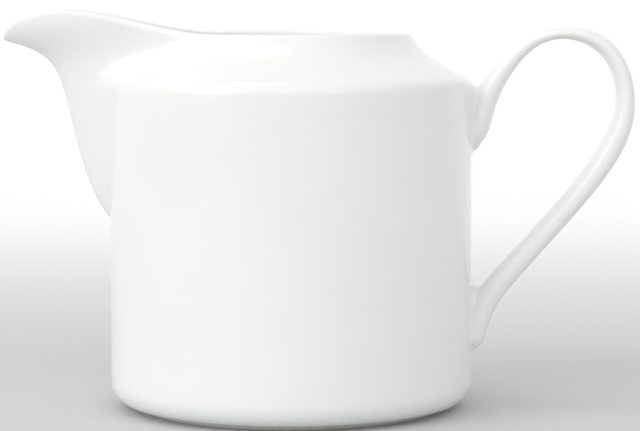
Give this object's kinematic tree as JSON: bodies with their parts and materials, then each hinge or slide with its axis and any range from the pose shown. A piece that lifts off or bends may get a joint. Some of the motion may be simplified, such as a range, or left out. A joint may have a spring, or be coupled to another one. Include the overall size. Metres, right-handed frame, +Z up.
{
  "type": "cream jug",
  "caption": "White glazed porcelain cream jug with a cylindrical body, sloping shoulder, open beak spout and tall loop handle.",
  "frame": {"origin": "on the body's axis, in the plane that the foot ring stands on", "axes": "+Z up along the body's axis, -X towards the spout, +X towards the handle, +Y across the jug"},
  "size_m": [0.1326, 0.076, 0.0839],
  "materials": {
    "glazed_porcelain": "clear gloss glaze over white porcelain",
    "bisque_foot": "ground bare porcelain, matt"
  },
  "bodies": {
    "root": {"body": "glazed_porcelain", "spout": "glazed_porcelain", "handle": "glazed_porcelain", "foot_ring": "bisque_foot", "spout_slip": "glazed_porcelain", "handle_upper_slip": "glazed_porcelain", "handle_lower_slip": "glazed_porcelain"}
  },
  "joints": []
}
